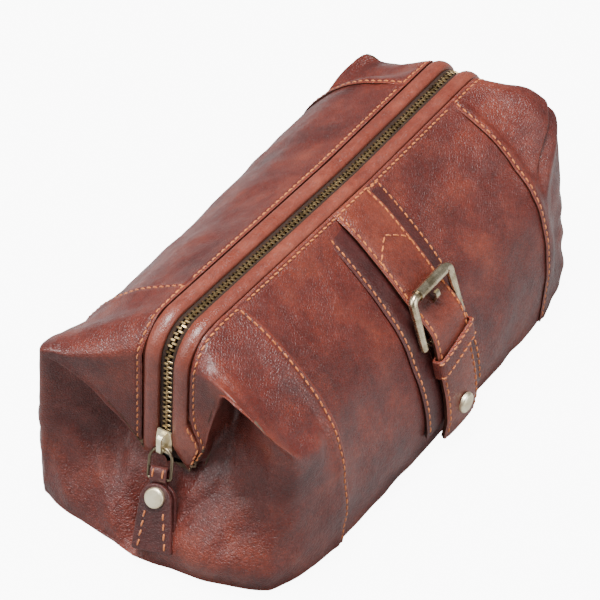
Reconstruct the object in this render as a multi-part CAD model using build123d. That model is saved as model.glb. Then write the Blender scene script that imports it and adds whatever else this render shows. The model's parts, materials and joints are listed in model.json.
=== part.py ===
from build123d import *
import os
from math import cos, sin, radians, hypot

# Framed leather wash bag. Millimetres, +Z up, origin at the centre of the base on the ground.
# X runs along the bag (the zip pull is at the -X end), -Y is the front, which carries the buckle.

# --- walls: half sections as (distance from the middle plane, height), top edge first ---
SEAM_X = 92.0               # where the middle panels meet the corner panels
SEAM_PROFILE = [(12.3, 102), (22, 98.6), (33.5, 92), (45, 84), (55, 73), (61.6, 63.5),
                (65.7, 51.6), (68.7, 36.7), (69.3, 20), (68, 2)]
MIDDLE_PROFILE = [(12.3, 100.5), (20, 94.4), (30, 86.6), (40, 78), (47, 71), (53, 64.5), (58, 57),
                  (61.5, 49), (66, 40), (70, 28), (71.8, 17), (71.6, 13.5), (70.6, 6.5), (69, 2)]
LEATHER = 2.0
FIT = 0.2                   # slack left between neighbouring soft pieces

# --- corners: ear tips as (x, y, z), all positive, and the points that every corner shares ---
EARS = {"front_left": (131, 57, 83), "rear_left": (138, 54, 83),
        "front_right": (130, 52, 84), "rear_right": (128, 55, 83)}
BASE_OUTLINE = [(92, 69), (117.5, 65.5), (136, 56), (144, 30), (147.5, 0)]
FLAP_Y = 12.3               # edge of the leather beside the frame binding

# --- zip, running up one end, along the top and down the other, in the plane Y = 0 ---
ARM_X = 123.0
ZIP_FOOT_Z = 41.0
LEFT_TOP_Z, RIGHT_TOP_Z = 105.0, 102.5
SAG_X, SAG_Z = 20.0, 100.8
BEND_RADIUS = 15.0
TAPE_THICK = 0.8
TAPE_EDGE, TAPE_OUTER = 1.4, 11.0
TOOTH_PITCH, TOOTH_LONG, TOOTH_THICK = 2.65, 1.1, 2.4
TOOTH_REACH, TOOTH_BACK = 0.5, 2.6
BINDING_INNER, BINDING_OUTER = 4.5, 11.5
BINDING_LOW, BINDING_HIGH = 0.5, 3.3

# --- the two hinged spring-steel frames inside the bindings ---
PIVOT_Z = 40.0
FRAME_INNER, FRAME_OUTER = 5.0, 9.5
FRAME_THICK = 1.6
FRAME_LIFT = -3.2           # mid thickness of the steel, below the tape
EYE_RADIUS = 3.5
PIN_RADIUS = 1.5
PIN_CLEARANCE = 0.05
PIN_HEAD_RADIUS = 2.6

# --- slider and pull ---
SLIDER_Z = 43.0
SLIDER_LONG = 12.0
SLIDER_HALF = 4.0
PULL_X, PULL_Z = -127.0, 46.9
PULL_LEAN, PULL_TILT = 28.0, 13.0
RING_HALF_WIDE, RING_TALL, RING_WIRE, RING_CORNER = 5.5, 13.6, 0.7, 1.3
LOOP_WIDE, LOOP_TALL, LOOP_LOW = 8.0, 7.0, -15.2
TAB_TOP, TAB_END = -15.4, -45.0
TAB_TOP_HALF, TAB_END_HALF = 6.2, 9.8
TAB_THICK = 1.7
TAB_GAP = 0.55
PULL_RIVET_Y, PULL_RIVET_RADIUS = -21.4, 4.6

# --- strap and buckle on the front: heights of the strap's inner face above the middle profile ---
STRAP_HALF, STRAP_THICK = 13.5, 2.6
STRAP_HEIGHTS = [2.1, 2.1, 2.1, 2.2, 2.6, 3.9, 6.2, 6.0, 3.9, 3.3, 3.2, 3.2, 3.2]
BACKING_LEFT, BACKING_RIGHT = -25.0, 23.5
BACKING_GAP, BACKING_THICK = 0.8, 1.2
HEEL = (63.45, 54.8)        # (distance from the middle plane, height) of the buckle's heel bar
ROLLER = (55.2, 77.6)       # the same for its top bar
BUCKLE_HALF, BUCKLE_BAR = 16.0, 2.0
HEEL_BAR, HEEL_WAIST, WAIST_HALF = 1.2, 0.9, 1.8
ROLLER_HALF, ROLLER_RADIUS, ROLLER_CLEARANCE = 11.3, 2.75, 0.08
PRONG_LINE = [(62.9, 55.9), (58.3, 62.6), (57.0, 66.0), (58.9, 70.2), (58.4, 74.4)]
PRONG_HALF, PRONG_THICK = 1.6, 1.1
KEEPER_CENTRE = (69.5, 47.2)
KEEPER_TALL, KEEPER_THICK = 7.6, 1.3
KEEPER_LEAN = 15.0
STRAP_RIVET_Z, STRAP_RIVET_RADIUS = 19.4, 5.0

# --- base and lining ---
BASE_THICK = 1.8
BOARD_INSET = 6.0
LINING_FOOT, LINING_RIM = (112.0, 61.0, 4.2), (107.0, 47.0, 58.0)
LINING_THICK = 1.2
LINING_CORNER = 14.0


# ---------------------------------------------------------------- helpers

def lifted(profile, heights):
    """The profile's points, each moved square to the wall by its own height."""
    points = []
    last = len(profile) - 1
    for i, (y, z) in enumerate(profile):
        y0, z0 = profile[max(i - 1, 0)]
        y1, z1 = profile[min(i + 1, last)]
        run = hypot(y1 - y0, z1 - z0)
        points.append((y - heights[i] * (z1 - z0) / run, z + heights[i] * (y1 - y0) / run))
    return points


def band(profile, low, high, x=0.0):
    """A strip that follows a profile between two heights above it, drawn in the plane X = x."""
    count = len(profile)
    lows = low if isinstance(low, list) else [low] * count
    highs = high if isinstance(high, list) else [high] * count
    inner, outer = lifted(profile, lows), lifted(profile, highs)
    edges = Spline(*outer) + Line(outer[-1], inner[-1]) + Spline(*inner[::-1]) + Line(inner[0], outer[0])
    return Plane(origin=(x, 0, 0), x_dir=(0, 1, 0), z_dir=(1, 0, 0)) * make_face(edges)


def strip(profile, low, high, left, right):
    """A band given width along X."""
    return extrude(band(profile, low, high, left), amount=right - left)


def to_front(shape):
    """The same shape on the -Y side."""
    return mirror(shape, about=Plane.XZ)


def zip_path(lift, y):
    """The zip's run at width y, moved square to the tape by lift (positive is out of the bag)."""
    side = ARM_X + lift
    points = [(-side, y, ZIP_FOOT_Z), (-side, y, LEFT_TOP_Z + lift), (SAG_X, y, SAG_Z + lift),
              (side, y, RIGHT_TOP_Z + lift), (side, y, ZIP_FOOT_Z)]
    return FilletPolyline(*points, radius=BEND_RADIUS + lift)


def along_zip(lift, thick, inner, outer):
    """A flat strip swept along the zip on the +Y side."""
    y = (inner + outer) / 2
    section = Location((-(ARM_X + lift), y, ZIP_FOOT_Z)) * Rectangle(thick, outer - inner)
    return sweep(section, path=zip_path(lift, y))


def sheet(points, triangles, thickness, keep_inside):
    """A thick skin on a net of triangles that face outwards, closed round its rim."""
    outer = [Vector(*p) for p in points]
    normals = [Vector(0, 0, 0) for _ in points]
    for a, b, c in triangles:
        square = (outer[b] - outer[a]).cross(outer[c] - outer[a])
        for i in (a, b, c):
            normals[i] = normals[i] + square
    inner = [keep_inside(p, p - n.normalized() * thickness) for p, n in zip(outer, normals)]
    edges = [(t[i], t[(i + 1) % 3]) for t in triangles for i in range(3)]
    faces = [Face(Wire.make_polygon([outer[i] for i in t])) for t in triangles]
    faces += [Face(Wire.make_polygon([inner[i] for i in reversed(t)])) for t in triangles]
    for a, b in edges:
        if (b, a) not in edges:
            faces.append(Face(Wire.make_polygon([outer[b], outer[a], inner[a]])))
            faces.append(Face(Wire.make_polygon([outer[b], inner[a], inner[b]])))
    return Solid(Shell(faces))


def cylinder_along_y(radius, y_from, y_to, z):
    """A cylinder parallel to Y in the plane X = 0."""
    length = abs(y_to - y_from)
    return Location((0, (y_from + y_to) / 2, z), (90, 0, 0)) * Cylinder(radius, length)


def cylinder_along_x(radius, x_from, x_to, y, z):
    """A cylinder parallel to X."""
    return Location(((x_from + x_to) / 2, y, z), (0, 90, 0)) * Cylinder(radius, abs(x_to - x_from))


# ---------------------------------------------------------------- leather walls and base

def middle_panel():
    """Rear middle panel: full at its end seams, flatter at the shoulder and fuller low down in the middle."""
    sections = [band(SEAM_PROFILE, -LEATHER, 0, -SEAM_X), band(MIDDLE_PROFILE, -LEATHER, 0, 0),
                band(SEAM_PROFILE, -LEATHER, 0, SEAM_X)]
    return loft(sections)


def corner_panel(ear, top_z):
    """One corner, in the +X +Y quarter: a flap beside the frame arm, an ear, and the end wall."""
    seam = SEAM_X + FIT
    points = [(seam, 12.3, 102), (seam, 33.5, 92), (seam, 55, 73), (seam, 65.7, 51.6),
              (seam, 69.3, 20), (seam, 68.2, 2),
              (ARM_X - BEND_RADIUS, FLAP_Y, top_z), (ARM_X, FLAP_Y, top_z - BEND_RADIUS),
              (ARM_X, FLAP_Y, ZIP_FOOT_Z), ear,
              (117.5, 65, 2), (136, 56, 2), (144, 30, 2), (147.5, FIT / 2, 2),
              (ARM_X - 2, FIT / 2, 33), (ear[0] - 5, ear[1] + 3, 48)]
    triangles = [(0, 1, 6), (1, 9, 6), (6, 9, 7), (7, 9, 8), (1, 2, 9), (2, 15, 9), (2, 3, 15),
                 (3, 4, 10), (3, 10, 15), (4, 5, 10), (10, 11, 15), (15, 11, 12), (8, 9, 12),
                 (9, 15, 12), (8, 12, 14), (14, 12, 13)]
    triangles = [(a, c, b) for a, b, c in triangles]

    def keep_inside(rim, point):
        y = rim.Y if rim.Y <= FLAP_Y else point.Y
        return Vector(max(point.X, seam), y, max(point.Z, 2))

    return sheet(points, triangles, LEATHER, keep_inside)


def base_face(inset):
    """The base outline, pulled in by inset."""
    quarter = [(x - inset, max(y - inset, 0)) for x, y in BASE_OUTLINE]
    right = quarter + [(x, -y) for x, y in reversed(quarter[:-1])]
    left = [(-x, y) for x, y in right]
    ends = Spline(*right, tangents=[(1, 0), (-1, 0)]) + Spline(*left, tangents=[(-1, 0), (1, 0)])
    return make_face(ends + Line(left[0], right[0]) + Line(left[-1], right[-1]))


def lining():
    """Fabric tub that lines the body, open at the top."""
    def tub(inset, drop):
        (x0, y0, z0), (x1, y1, z1) = LINING_FOOT, LINING_RIM
        foot = RectangleRounded(2 * (x0 - inset), 2 * (y0 - inset), LINING_CORNER - inset)
        rim = RectangleRounded(2 * (x1 - inset), 2 * (y1 - inset), LINING_CORNER - inset)
        return loft([Location((0, 0, z0 + drop)) * foot, Location((0, 0, z1 + 0.01 * drop)) * rim])
    return tub(0, 0) - tub(LINING_THICK, LINING_THICK)


# ---------------------------------------------------------------- zip and frames

def teeth(start_shift):
    """The +Y row of zip teeth, each clamped over the tape's edge."""
    across = TOOTH_REACH + TOOTH_BACK
    tooth = Location((0, across / 2 - TOOTH_REACH, 0)) * Box(TOOTH_LONG, across, TOOTH_THICK)
    slot_depth = TOOTH_BACK - TAPE_EDGE + 0.1
    tooth -= Location((0, TOOTH_BACK - slot_depth / 2, 0)) * Box(TOOTH_LONG, slot_depth, TAPE_THICK + 0.1)
    path = zip_path(0, 0)
    first = SLIDER_Z + SLIDER_LONG - ZIP_FOOT_Z - 1.0
    count = int((path.length - first - 7.0) / TOOTH_PITCH)
    row = []
    for i in range(count):
        share = (first + start_shift + i * TOOTH_PITCH) / path.length
        point, tangent = path.position_at(share), path.tangent_at(share)
        row.append(Plane(point, x_dir=tangent, z_dir=tangent.cross(Vector(0, 1, 0))).location * tooth)
    return Compound(children=row)


def frame_strip(eye_x_from, eye_x_to, eye_hole):
    """Spring-steel frame on the +Y side: a strip bent along the zip, with a lapped eye at each foot."""
    shape = along_zip(FRAME_LIFT, FRAME_THICK, FRAME_INNER, FRAME_OUTER)
    x0 = ARM_X + FRAME_LIFT - FRAME_THICK / 2
    x1 = x0 + FRAME_THICK
    foot, toe_tall = ZIP_FOOT_Z, 5.0
    middle, width = (FRAME_INNER + FRAME_OUTER) / 2, FRAME_OUTER - FRAME_INNER
    toe_outline = Polyline((FRAME_OUTER, foot + toe_tall), (FRAME_INNER, foot + toe_tall),
                           (0, PIVOT_Z + EYE_RADIUS), (0, PIVOT_Z - EYE_RADIUS), (FRAME_OUTER, foot),
                           close=True)
    face = Plane(origin=(eye_x_from, 0, 0), x_dir=(0, 1, 0), z_dir=(1, 0, 0)) * make_face(toe_outline)
    toe = extrude(face, amount=eye_x_to - eye_x_from)
    toe += cylinder_along_x(EYE_RADIUS, eye_x_from, eye_x_to, 0, PIVOT_Z)
    heel_low, heel_high = min(x0, eye_x_from), max(x1, eye_x_to)
    joggle = Box(heel_high - heel_low, width, toe_tall)
    toe += Location(((heel_low + heel_high) / 2, middle, foot + 1.5 * toe_tall)) * joggle
    toe -= cylinder_along_x(eye_hole, eye_x_from - 1, eye_x_to + 1, 0, PIVOT_Z)
    cut_low = Location((0, middle, foot + toe_tall / 2)) * Box(3 * ARM_X, width + 0.5, toe_tall + 0.02)
    return shape - cut_low + toe + mirror(toe, about=Plane.YZ)


def pivot_pins():
    """Rivets on which the two frames swing, one at each end."""
    outer, inner, head = 121.9, 116.2, 1.2
    outer_head = cylinder_along_x(PIN_HEAD_RADIUS, outer - head, outer, 0, PIVOT_Z)
    shank = cylinder_along_x(PIN_RADIUS, inner + 0.1, outer - 0.9, 0, PIVOT_Z)
    inner_head = cylinder_along_x(PIN_HEAD_RADIUS, inner, inner + 1.0, 0, PIVOT_Z)
    pin = outer_head + shank + inner_head
    return Compound(children=[pin, mirror(pin, about=Plane.YZ)])


def slider_body():
    """Slider: two plates joined by a wedge, flanged to hold the teeth and slotted for the tape."""
    top, half = SLIDER_Z + SLIDER_LONG, SLIDER_HALF
    right = [(2.4, SLIDER_Z), (half, SLIDER_Z + 1.8), (half, SLIDER_Z + 7), (3.3, top)]
    outline = Polyline(*right, *[(-y, z) for y, z in reversed(right)], close=True)

    def plate(x_from, x_to):
        face = Plane(origin=(x_from, 0, 0), x_dir=(0, 1, 0), z_dir=(1, 0, 0)) * make_face(outline)
        return extrude(face, amount=x_to - x_from)

    outer = plate(-ARM_X - 2.5, -ARM_X - 1.5)
    inner = plate(-ARM_X + 1.4, -ARM_X + 2.15)
    wedge = Location((-ARM_X - 0.2, 0, SLIDER_Z + 2.2)) * Box(4.4, 1.4, 3.6)
    shape = outer + inner + wedge
    for y in (-half + 0.3, half - 0.3):
        shape += Location((-ARM_X - 1.15, y, SLIDER_Z + 4.4)) * Box(0.9, 0.6, 5.2)
        shape += Location((-ARM_X + 1.05, y, SLIDER_Z + 4.4)) * Box(0.9, 0.6, 5.2)
    return shape


def slider_bail():
    """The arch on the slider that the pull ring hangs from."""
    low, high, root = SLIDER_Z + 1.5, SLIDER_Z + 11, -ARM_X - 2.5
    arch = Location((root - 2.1, 0, (low + high) / 2)) * Box(4.2, 2.2, high - low)
    arch = fillet(arch.edges().filter_by(Axis.Y).sort_by(Axis.X)[:2], 2.0)
    return arch - Location((root - 1.4, 0, (low + high) / 2)) * Box(3.0, 3.0, high - low - 2.4)


# ---------------------------------------------------------------- pull

def pull_plane():
    """Frame of the hanging pull: origin on the bail, X across, Y up the pull, Z out of the end wall."""
    lean, tilt = radians(PULL_LEAN), radians(PULL_TILT)
    down = Vector(-sin(lean) * cos(tilt), -sin(tilt), -cos(lean) * cos(tilt))
    out = Vector(-cos(lean), 0, sin(lean))
    return Plane(origin=(PULL_X, 0, PULL_Z), x_dir=(down * -1).cross(out), z_dir=out)


def pull_ring():
    """Wire ring, arched above and straight below, where the leather loop swings on it."""
    half = RING_HALF_WIDE
    outline = ThreePointArc((half, -half), (0, 0), (-half, -half)) \
        + Polyline((-half, -half), (-half, -RING_TALL), (half, -RING_TALL), (half, -half))
    face = make_face(outline)
    path = fillet(face.vertices().sort_by(Axis.Y)[:2], RING_CORNER).face().outer_wire()
    return sweep(Plane(origin=path.position_at(0), z_dir=path.tangent_at(0)) * Circle(RING_WIRE), path=path)


def tab_face():
    """Tab outline: round at the top, flaring to a wide straight end with rounded corners."""
    top = TAB_TOP - TAB_TOP_HALF
    body = Polyline((-TAB_TOP_HALF, top), (TAB_TOP_HALF, top), (TAB_END_HALF, TAB_END),
                    (-TAB_END_HALF, TAB_END), close=True)
    face = make_face(body)
    face = fillet(face.vertices().sort_by(Axis.Y)[:2], 2.5)
    return face + Location((0, top, 0)) * Circle(TAB_TOP_HALF)


def tab_layer(z_from):
    """One leather layer of the tab, with its rivet hole."""
    layer = extrude(Location((0, 0, z_from)) * tab_face(), amount=TAB_THICK)
    return layer - Location((0, PULL_RIVET_Y, 0)) * Cylinder(PIN_RADIUS + 0.1, 12)


def pull_loop():
    """Leather strip folded round the ring, its tail sewn between the tab's layers."""
    low, thick, wall = LOOP_LOW, 3.6, 0.9
    outer = Location((0, low + LOOP_TALL / 2, 0)) * Box(LOOP_WIDE, LOOP_TALL, thick)
    outer = fillet(outer.edges().filter_by(Axis.X).sort_by(Axis.Y)[-2:], 1.7)
    hollow = Location((0, low + 3.4, 0)) * Box(LOOP_WIDE + 2, 5.4, thick - 2 * wall - 0.2)
    tail = Location((0, low - 5.9, 0)) * Box(LOOP_WIDE, 11.9, wall)
    return outer - hollow + tail - Location((0, PULL_RIVET_Y, 0)) * Cylinder(PIN_RADIUS + 0.1, 12)


def rivet_cap(radius, height):
    """Low domed cap standing on Z = 0."""
    cap = Location((0, 0, height / 2)) * Cylinder(radius, height)
    return fillet(cap.edges().sort_by(Axis.Z)[-1:], height * 0.6)


def pull_rivet():
    """Cap and post of the rivet through the tab."""
    face = TAB_GAP + TAB_THICK
    post = Cylinder(PIN_RADIUS, 2 * face + 1.4)
    rivet = Location((0, 0, face + 0.05)) * rivet_cap(PULL_RIVET_RADIUS, 2.0) + post
    return Location((0, PULL_RIVET_Y, 0)) * rivet


def pull_rivet_back():
    """Washer that closes the tab's rivet behind."""
    washer = Cylinder(3.4, 0.6) - Cylinder(PIN_RADIUS, 2)
    return Location((0, PULL_RIVET_Y, -(TAB_GAP + TAB_THICK + 0.36))) * washer


# ---------------------------------------------------------------- strap and buckle (drawn on +Y)

def strap():
    """Decorative strap down the front, lifted over the buckle's heel bar, with the prong's hole."""
    profile = MIDDLE_PROFILE[:-1]
    tops = [h + STRAP_THICK for h in STRAP_HEIGHTS]
    shape = strip(profile, STRAP_HEIGHTS, tops, -STRAP_HALF, STRAP_HALF)
    shape -= strip(PRONG_LINE, -1.1, 1.1, -2.1, 2.1)
    return shape - cylinder_along_y(PIN_RADIUS + 0.1, 60, 90, STRAP_RIVET_Z)


def strap_backing():
    """Wider strip of leather under the strap."""
    shape = strip(MIDDLE_PROFILE[:-2], BACKING_GAP, BACKING_GAP + BACKING_THICK, BACKING_LEFT, BACKING_RIGHT)
    return shape - cylinder_along_y(PIN_RADIUS + 0.1, 60, 90, STRAP_RIVET_Z)


def buckle_plane():
    """Frame of the buckle: origin on the heel bar, X along the bag, Y towards the roller."""
    rise = Vector(0, ROLLER[0] - HEEL[0], ROLLER[1] - HEEL[1])
    return Plane(origin=(0, HEEL[0], HEEL[1]), x_dir=(1, 0, 0), z_dir=Vector(1, 0, 0).cross(rise))


def buckle_frame():
    """Round-bar frame with a thinner heel bar, waisted where the prong turns."""
    tall = hypot(ROLLER[0] - HEEL[0], ROLLER[1] - HEEL[1])
    corners = [(-BUCKLE_HALF, 0), (-BUCKLE_HALF, tall), (BUCKLE_HALF, tall), (BUCKLE_HALF, 0)]
    path = FilletPolyline(*corners, radius=3.2)
    bow = sweep(Plane(origin=(-BUCKLE_HALF, 0, 0), z_dir=(0, 1, 0)) * Circle(BUCKLE_BAR), path=path)
    for x in (-BUCKLE_HALF, BUCKLE_HALF):
        bow += Location((x, 0, 0)) * Sphere(BUCKLE_BAR)
    bow += cylinder_along_x(HEEL_WAIST, -BUCKLE_HALF, BUCKLE_HALF, 0, 0)
    bow += cylinder_along_x(HEEL_BAR, -BUCKLE_HALF, -WAIST_HALF, 0, 0)
    bow += cylinder_along_x(HEEL_BAR, WAIST_HALF, BUCKLE_HALF, 0, 0)
    return buckle_plane() * bow


def buckle_roller():
    """Loose tube on the buckle's top bar."""
    tube = cylinder_along_x(ROLLER_RADIUS, -ROLLER_HALF, ROLLER_HALF, *ROLLER)
    return tube - cylinder_along_x(BUCKLE_BAR + ROLLER_CLEARANCE, -20, 20, *ROLLER)


def buckle_prong():
    """Prong: an eye on the heel bar's waist and a shank that comes up through the strap."""
    shank = strip(PRONG_LINE, -PRONG_THICK / 2, PRONG_THICK / 2, -PRONG_HALF, PRONG_HALF)
    eye = cylinder_along_x(1.75, -PRONG_HALF, PRONG_HALF, *HEEL)
    return shank + eye - cylinder_along_x(HEEL_WAIST + 0.07, -20, 20, *HEEL)


def buckle_chape():
    """Thin leather tab folded round the heel bar and sewn to the backing, slotted for the prong."""
    line = [(59.35, 54.0), (61.5, 49), (63.8, 44.2)]
    tail = strip(line, 2.1, 2.7, -11.5, 11.5)
    tube = cylinder_along_x(1.9, -11.5, 11.5, *HEEL)
    slot = Location((0, HEEL[0], HEEL[1] + 1)) * Box(4.4, 6, 9)
    return tube + tail - cylinder_along_x(HEEL_BAR + 0.1, -20, 20, *HEEL) - slot


def keeper_loop():
    """Leather loop round the strap, below the buckle."""
    outer = Box(2 * STRAP_HALF + 3.4, 6.6, KEEPER_TALL)
    outer = fillet(outer.edges().filter_by(Axis.Z), 1.2)
    loop = outer - Box(2 * STRAP_HALF + 0.8, 6.6 - 2 * KEEPER_THICK, KEEPER_TALL + 1)
    return Location((0, *KEEPER_CENTRE), (KEEPER_LEAN, 0, 0)) * loop


def strap_rivet():
    """Cap and post of the rivet through the strap's end."""
    face = 77.75            # the strap's outer face at the rivet
    cap = Location((0, face, STRAP_RIVET_Z), (-90, 0, 0)) * rivet_cap(STRAP_RIVET_RADIUS, 2.4)
    return cap + cylinder_along_y(PIN_RADIUS, 67.4, face + 0.5, STRAP_RIVET_Z)


def strap_rivet_back():
    """Washer inside the panel that closes the strap's rivet."""
    washer = cylinder_along_y(4, 67.8, 68.8, STRAP_RIVET_Z)
    return washer - cylinder_along_y(PIN_RADIUS, 60, 80, STRAP_RIVET_Z)


# ---------------------------------------------------------------- the bag

def zip_bottom_stop():
    """Metal block across the zip's far end, slotted for the tape."""
    middle = PIVOT_Z + 4.4
    block = Location((ARM_X, 0, middle)) * Box(3.6, 5.6, 2.6)
    for y in (-2.0, 2.0):
        block -= Location((ARM_X, y, middle)) * Box(TAPE_THICK + 0.2, 2.4, 4)
    return block


def all_parts():
    """Every node by name."""
    rear_panel = middle_panel()
    board = extrude(base_face(BOARD_INSET), amount=BASE_THICK)
    parts = {"rear_panel": rear_panel,
             "front_panel": to_front(rear_panel - cylinder_along_y(PIN_RADIUS + 0.1, 60, 90, STRAP_RIVET_Z)),
             "base_panel": extrude(base_face(0), amount=BASE_THICK),
             "base_board": Location((0, 0, BASE_THICK + FIT)) * board,
             "lining": lining()}
    for name, ear in EARS.items():
        corner = corner_panel(ear, LEFT_TOP_Z if "left" in name else RIGHT_TOP_Z)
        if "left" in name:
            corner = mirror(corner, about=Plane.YZ)
        parts[name + "_corner"] = to_front(corner) if "front" in name else corner

    tape = along_zip(0, TAPE_THICK, TAPE_EDGE, TAPE_OUTER)
    binding = along_zip((BINDING_LOW + BINDING_HIGH) / 2, BINDING_HIGH - BINDING_LOW,
                        BINDING_INNER, BINDING_OUTER)
    front_eye_x = ARM_X + FRAME_LIFT - FRAME_THICK / 2
    rear_eye_x = front_eye_x - FRAME_THICK - 0.1
    front_frame = frame_strip(front_eye_x, front_eye_x + FRAME_THICK, PIN_RADIUS + PIN_CLEARANCE)
    parts.update({"rear_zip_tape": tape, "front_zip_tape": to_front(tape),
                  "rear_binding": binding, "front_binding": to_front(binding),
                  "rear_zip_teeth": teeth(TOOTH_PITCH / 2), "front_zip_teeth": to_front(teeth(0)),
                  "front_frame": to_front(front_frame),
                  "rear_frame": frame_strip(rear_eye_x, rear_eye_x + FRAME_THICK, PIN_RADIUS),
                  "pivot_pins": pivot_pins(), "zip_bottom_stop": zip_bottom_stop(),
                  "slider_body": slider_body(), "slider_bail": slider_bail()})

    pull = pull_plane()
    parts.update({"pull_ring": pull * pull_ring(), "pull_loop": pull * pull_loop(),
                  "pull_front": pull * tab_layer(TAB_GAP),
                  "pull_back": pull * tab_layer(-TAB_GAP - TAB_THICK),
                  "pull_rivet": pull * pull_rivet(), "pull_rivet_back": pull * pull_rivet_back()})

    for maker in (strap, strap_backing, buckle_frame, buckle_roller, buckle_prong, buckle_chape,
                  keeper_loop, strap_rivet, strap_rivet_back):
        parts[maker.__name__] = to_front(maker())
    return parts


os.makedirs("parts", exist_ok=True)
for node, shape in all_parts().items():
    export_step(shape, f"parts/{node}.step")
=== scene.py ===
import json
import math

import bmesh
import bpy
import numpy as np
from mathutils import Matrix, Vector, noise

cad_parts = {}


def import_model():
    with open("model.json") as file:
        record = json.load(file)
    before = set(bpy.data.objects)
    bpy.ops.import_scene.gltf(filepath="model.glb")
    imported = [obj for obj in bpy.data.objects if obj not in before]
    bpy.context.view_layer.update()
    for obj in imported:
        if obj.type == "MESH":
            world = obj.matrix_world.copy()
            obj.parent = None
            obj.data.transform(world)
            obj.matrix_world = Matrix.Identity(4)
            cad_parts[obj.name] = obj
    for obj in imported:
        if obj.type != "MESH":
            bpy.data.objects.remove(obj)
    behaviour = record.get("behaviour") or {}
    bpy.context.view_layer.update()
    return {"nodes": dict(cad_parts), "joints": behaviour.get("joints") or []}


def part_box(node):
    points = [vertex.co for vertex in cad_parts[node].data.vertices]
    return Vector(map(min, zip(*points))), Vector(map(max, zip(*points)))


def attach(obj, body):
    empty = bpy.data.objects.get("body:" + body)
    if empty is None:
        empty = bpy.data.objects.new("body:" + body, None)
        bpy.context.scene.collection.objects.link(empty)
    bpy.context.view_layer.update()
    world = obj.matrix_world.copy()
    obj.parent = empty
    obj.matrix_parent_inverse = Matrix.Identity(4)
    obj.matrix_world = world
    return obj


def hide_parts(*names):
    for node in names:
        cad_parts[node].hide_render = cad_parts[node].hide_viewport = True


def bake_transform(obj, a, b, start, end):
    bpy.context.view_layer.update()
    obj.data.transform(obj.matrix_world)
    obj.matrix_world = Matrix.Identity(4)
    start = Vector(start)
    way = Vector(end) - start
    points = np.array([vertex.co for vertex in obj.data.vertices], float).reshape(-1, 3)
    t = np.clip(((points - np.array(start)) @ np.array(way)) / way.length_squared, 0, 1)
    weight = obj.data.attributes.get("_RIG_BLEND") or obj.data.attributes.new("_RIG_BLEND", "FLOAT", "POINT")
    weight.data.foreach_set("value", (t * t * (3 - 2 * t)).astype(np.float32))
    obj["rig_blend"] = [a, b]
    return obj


# Looks of the framed leather wash bag. Shapes are worked out in millimetres, and MM turns them into metres.
# +X runs along the bag, the zip pull hangs at the -X end, the buckle is on the -Y side.
# A surface point is (x, y, z, hold): hold is the share of its jaw's turn that the leather there follows.

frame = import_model()
MM = 0.001


def mm_box(node):
    """Lowest and highest corner of a CAD node in millimetres."""
    return [np.array(corner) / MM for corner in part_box(node)]


# --- driving sizes, from the frame where it has them
SEAM_X = mm_box("rear_panel")[1][0]
TAPE_THICK = 0.8
ARM_X = mm_box("front_zip_tape")[1][0] - TAPE_THICK / 2
FOOT_Z = mm_box("front_zip_tape")[0][2]
LEFT_TOP_Z, RIGHT_TOP_Z = 105.0, 102.5
SAG_X, SAG_Z = 20.0, 100.8
BEND_RADIUS = 15.0
JOINTS = {joint["name"]: joint for joint in frame["joints"]}

# half sections of the wall as (distance from the middle plane, height)
SEAM_PROFILE = [(12.3, 102), (22, 98.6), (33.5, 92), (45, 84), (55, 73), (61.6, 63.5),
                (65.7, 51.6), (69, 36.7), (70, 20), (69, 0.6)]
MIDDLE_PROFILE = [(12.3, 100.5), (20, 94.4), (30, 86.6), (40, 78), (47, 71), (53, 64.5), (58, 57),
                  (61.5, 49), (66, 40), (70, 28), (71.8, 17), (71.6, 13.5), (70.9, 6.5), (69.8, 0.6)]
ROW_SHARES = [0, .12, .25, .38, .45, .5, .56, .67, .80, .91, 1]   # rows of a wall's net, top edge to base
FRONT, REAR = -1, 1
REAR_SAG, REAR_BULGE = 0.06, 3.0     # how much of the middle section the rear wall takes up, and its swell
INSIDE = np.array([0, 0, 55.0])      # a point inside the bag
BULGE_SHARES = np.array([0, .5, .9, 1, 1, .95, .8, .55, .25, .1, 0])
EDGE_Y, EDGE_LIFT = 11.8, 2.4        # the leather's top edge beside the binding
LEATHER = 1.7
OVERLAP = 1.3                        # how far the corner panels stand over the middle panels
LAP = 2.6                            # how far past the seam they reach
STITCH_PITCH, STITCH_LONG, STITCH_RADIUS = 3.6, 2.9, 0.42
STITCH_INSET, STITCH_PROUD, STITCH_SLANT = 2.2, 0.03, 0.4
GROOVE_DEEP, GROOVE_WIDE, ROLL_DEEP, ROLL_WIDE = 0.45, 0.8, 0.5, 0.7   # leather beside stitches, at its edge
# a stitch's rings: place along it, thickness and height, as shares of its length and radius
STITCH_SHAPE = [(-.5, .45, -.75), (-.36, .9, -.12), (0, 1, .25), (.36, .9, -.12), (.5, .45, -.75)]
STRAP_HALF = mm_box("strap")[1][0]
STRAP_THICK = 2.6
STRAP_HEIGHTS = [2.1, 2.1, 2.1, 2.2, 2.6, 3.9, 6.2, 6.0, 3.9, 3.3, 3.2, 3.2, 3.2]
BACKING_LEFT, BACKING_RIGHT = mm_box("strap_backing")[0][0], mm_box("strap_backing")[1][0]
BACKING_GAP, BACKING_THICK = 0.5, 1.6


# --- curves and nets

def smoothstep(a, b, x):
    t = np.clip((np.asarray(x, float) - a) / (b - a), 0, 1)
    return t * t * (3 - 2 * t)


def squared(v, power):
    """A cosine or sine raised so that a circle turns into a rounded box."""
    return math.copysign(abs(v) ** power, v)


def unit(v):
    return v / np.maximum(np.linalg.norm(v, axis=-1, keepdims=True), 1e-9)


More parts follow.
